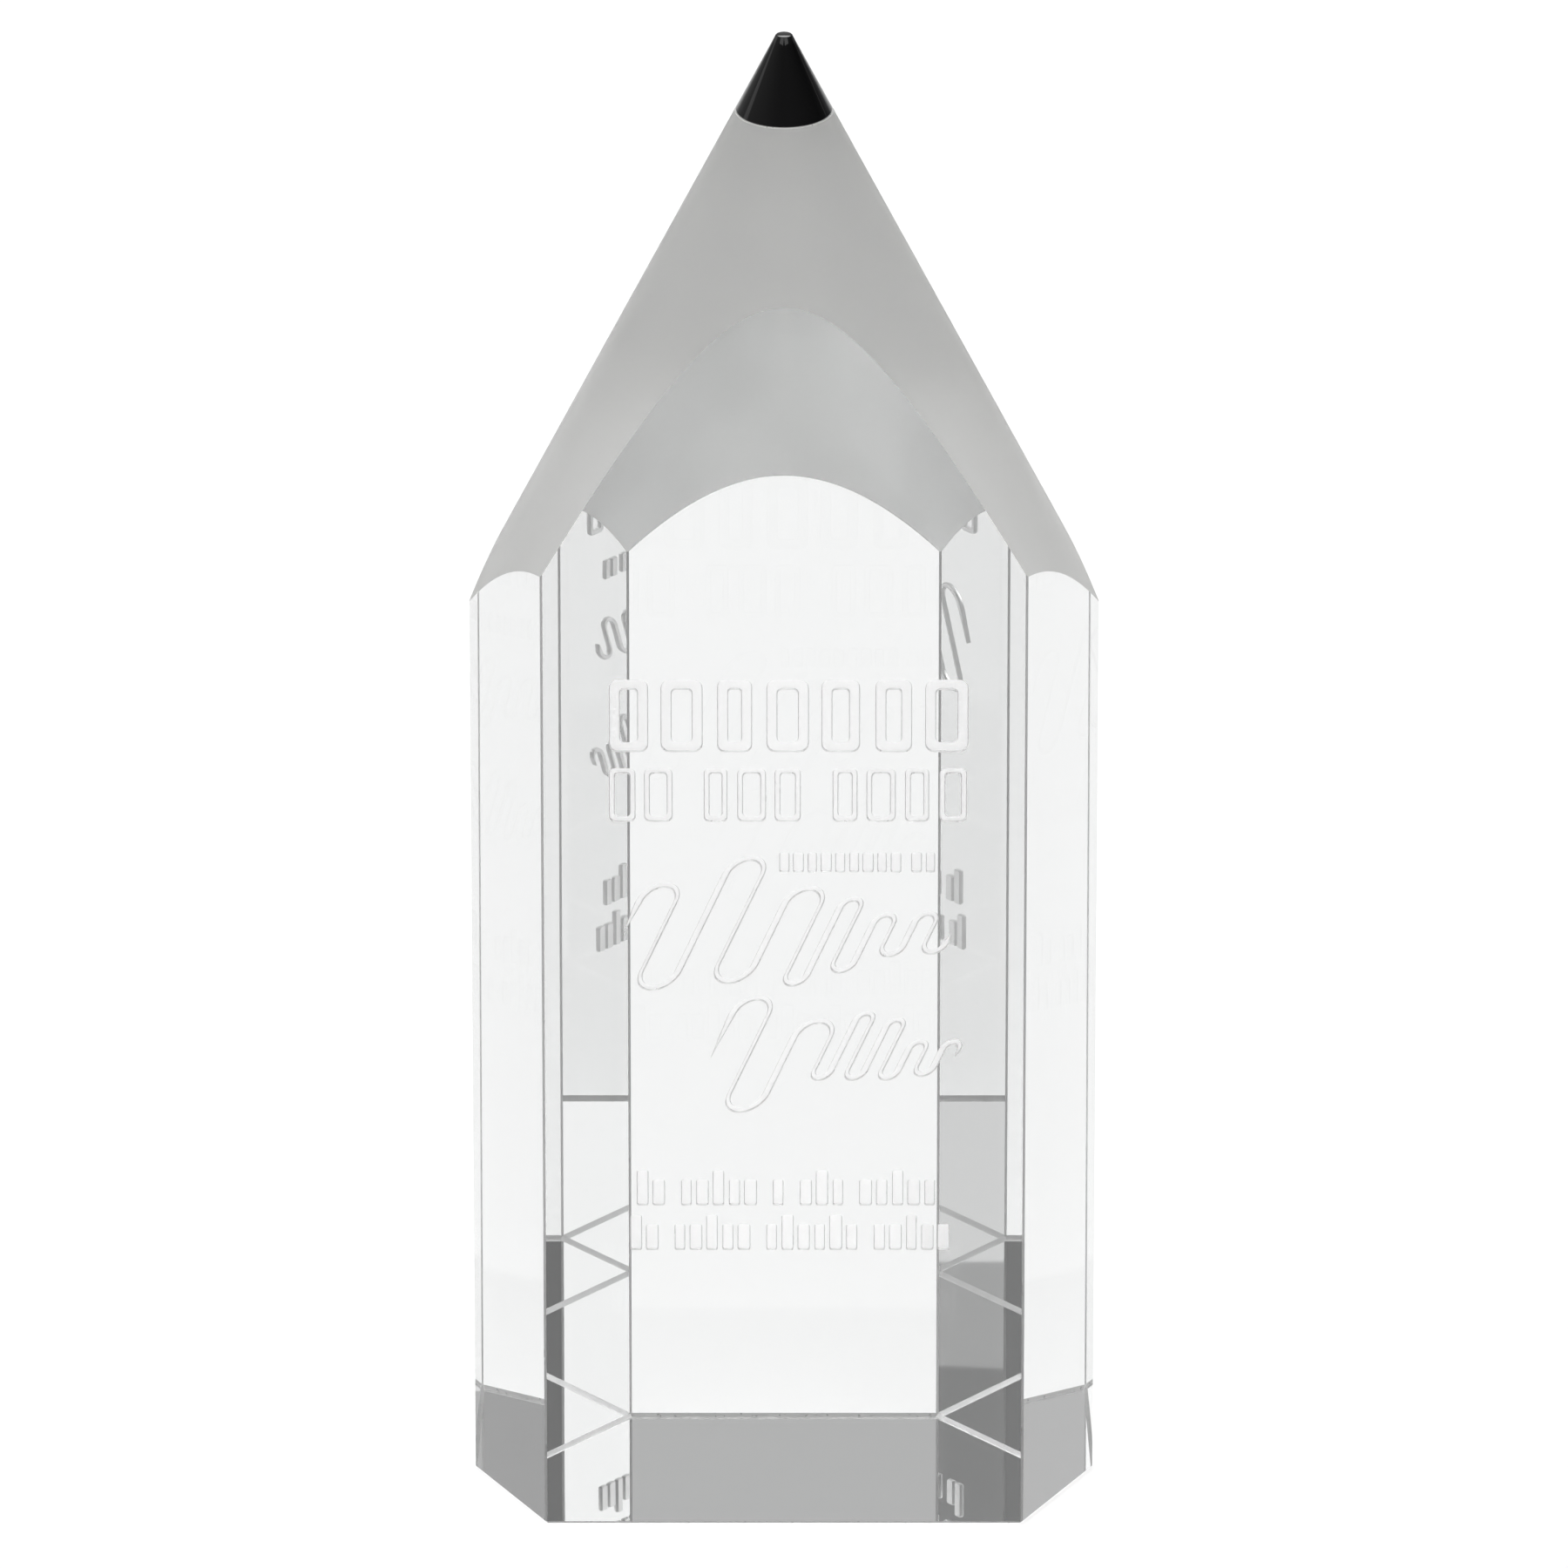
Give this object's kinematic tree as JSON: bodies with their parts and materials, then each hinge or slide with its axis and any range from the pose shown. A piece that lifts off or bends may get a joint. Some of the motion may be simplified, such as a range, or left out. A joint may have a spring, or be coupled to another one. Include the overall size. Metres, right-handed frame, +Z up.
{
  "type": "crystal award",
  "caption": "Solid crystal pencil-shaped award with a flat engraved front, a frosted ground cone and a bonded black crystal point.",
  "frame": {"origin": "centre of the resting face, on the pencil's axis", "axes": "+Z up along the pencil's axis to the black point, -Y out of the engraved front, +X to the right as seen from the front"},
  "size_m": [0.0858, 0.0546, 0.2156],
  "materials": {
    "crystal": "polished clear prism faces, fine sandblasted cone and engraving",
    "adhesive": "clear cured film",
    "black_crystal": "polished, opaque black"
  },
  "bodies": {
    "root": {"crystal_body": "crystal", "tip_bond": "adhesive", "black_tip": "black_crystal"}
  },
  "joints": []
}
